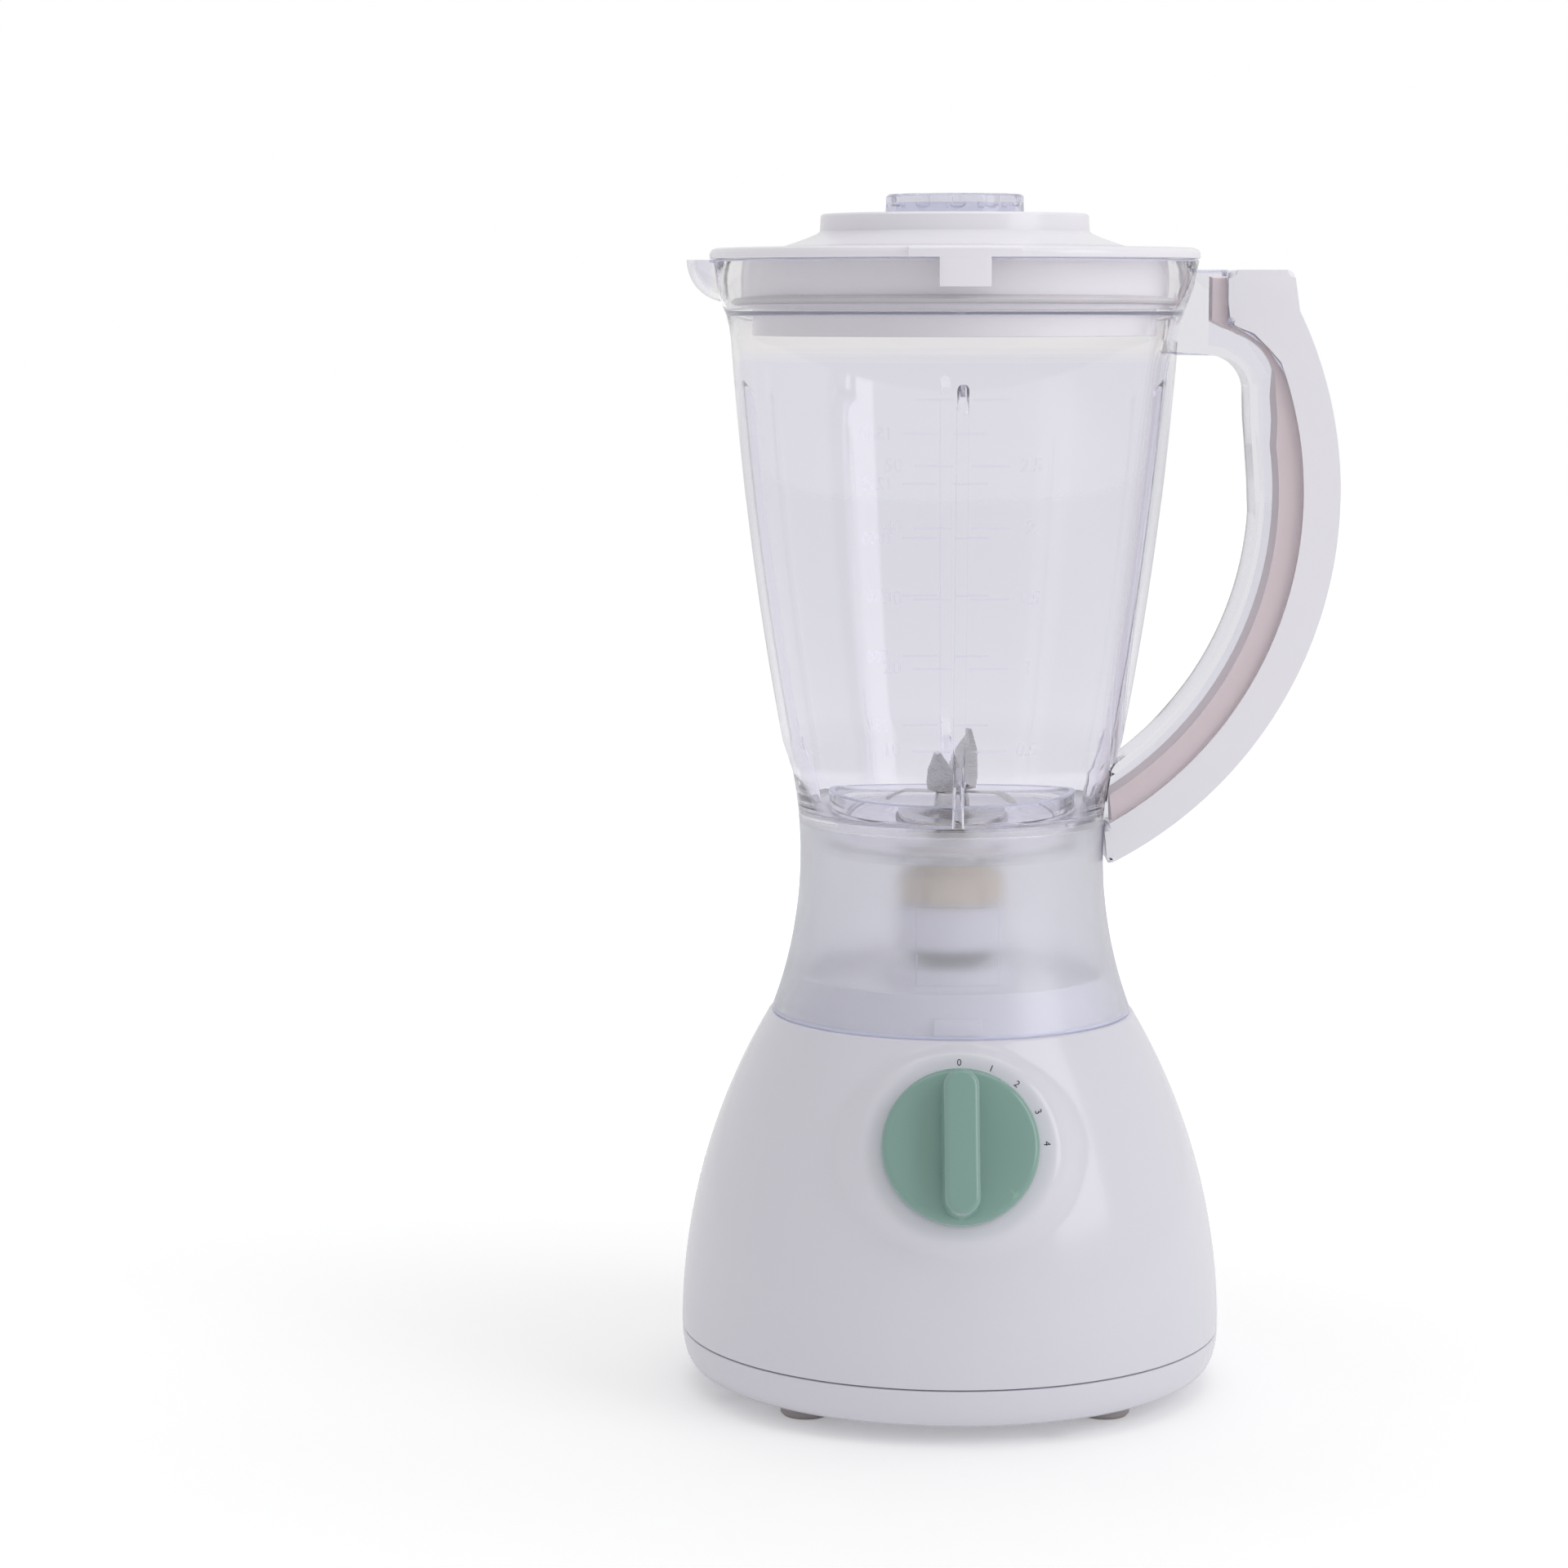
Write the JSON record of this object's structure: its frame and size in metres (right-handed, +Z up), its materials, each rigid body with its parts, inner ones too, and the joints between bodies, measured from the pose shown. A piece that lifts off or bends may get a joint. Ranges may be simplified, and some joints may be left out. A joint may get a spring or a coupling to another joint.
{
  "type": "countertop blender",
  "caption": "Countertop blender: domed motor base with a rotary speed knob, coupled drive, clear jug with spout, curved handle and blades, push-on lid and measuring cap.",
  "frame": {"origin": "on the table, at the centre of the object's box seen from above", "axes": "+Z up along the drive axis, front with the knob towards -Y, handle towards +X, spout towards -X"},
  "size_m": [0.222, 0.1955, 0.4058],
  "materials": {
    "white_plastic": "moulded white plastic, glossy with a cool tint",
    "mint_plastic": "moulded mint green plastic",
    "clear_plastic": "clear moulded plastic, frosted below the floor",
    "grey_rubber": "soft grey rubber",
    "black_rubber": "black rubber",
    "black_plastic": "matte black plastic",
    "grey_plastic": "moulded grey plastic",
    "beige_nylon": "natural nylon",
    "silicone": "milky silicone",
    "plated_steel": "zinc plated steel",
    "stainless_steel": "brushed stainless steel",
    "laminated_steel": "stacked steel laminations",
    "copper_wire": "enamelled copper",
    "sintered_bronze": "oil filled sintered bronze",
    "brass_sheet": "pressed brass",
    "carbon": "pressed carbon"
  },
  "bodies": {
    "base": {"motor_housing": "white_plastic", "bottom_cover": "white_plastic", "rubber_feet": "grey_rubber", "cover_screws": "plated_steel", "cord_gland": "black_plastic", "switch_body": "black_plastic", "stator_core": "laminated_steel", "field_coils": "copper_wire", "upper_bracket": "plated_steel", "lower_bracket": "plated_steel", "motor_bolts": "plated_steel", "mount_bushes": "black_rubber", "upper_bearing": "sintered_bronze", "lower_bearing": "sintered_bronze", "brush_holders": "brass_sheet", "carbon_brushes": "carbon", "brush_springs": "plated_steel", "shaft_seal": "black_rubber"},
    "knob": {"switch_spindle": "plated_steel", "control_knob": "mint_plastic"},
    "rotor": {"motor_shaft": "plated_steel", "armature_core": "laminated_steel", "armature_winding": "copper_wire", "commutator": "copper_wire", "cooling_fan": "grey_plastic", "drive_coupling": "black_rubber"},
    "jug": {"jug": "clear_plastic", "jug_handle": "clear_plastic", "handle_cover": "white_plastic", "blade_seat": "stainless_steel", "seat_gasket": "silicone", "seat_nut": "beige_nylon", "shaft_bushing": "sintered_bronze"},
    "blades": {"blade_shaft": "stainless_steel", "lower_blade": "stainless_steel", "upper_blade": "stainless_steel", "blade_spacer": "stainless_steel", "blade_nut": "stainless_steel", "driven_coupling": "white_plastic"},
    "lid": {"lid": "white_plastic", "lid_gasket": "silicone"},
    "cap": {"measuring_cap": "clear_plastic"}
  },
  "joints": [
    {"name": "knob_turn", "type": "hinge", "parent": "base", "child": "knob", "pos_m": [-0.0185, -0.07274, 0.0965], "axis": [0, 0.9328, -0.3605], "range_deg": [0, 87]},
    {"name": "motor_spin", "type": "hinge", "parent": "base", "child": "rotor", "pos_m": [-0.0185, 0.00531, 0.1], "axis": [0, 0, 1], "continuous": true},
    {"name": "jug_lift", "type": "slide", "parent": "base", "child": "jug", "axis": [0, 0, 1], "range_m": [0, 0.06]},
    {"name": "blade_spin", "type": "hinge", "parent": "jug", "child": "blades", "pos_m": [-0.0185, 0.00531, 0.18], "axis": [0, 0, 1], "continuous": true},
    {"name": "lid_lift", "type": "slide", "parent": "jug", "child": "lid", "axis": [0, 0, 1], "range_m": [0, 0.06]},
    {"name": "cap_lift", "type": "slide", "parent": "lid", "child": "cap", "axis": [0, 0, 1], "range_m": [0, 0.05]}
  ],
  "couplings": [
    {"joint": "blade_spin", "follows": "motor_spin", "ratio": 1}
  ]
}
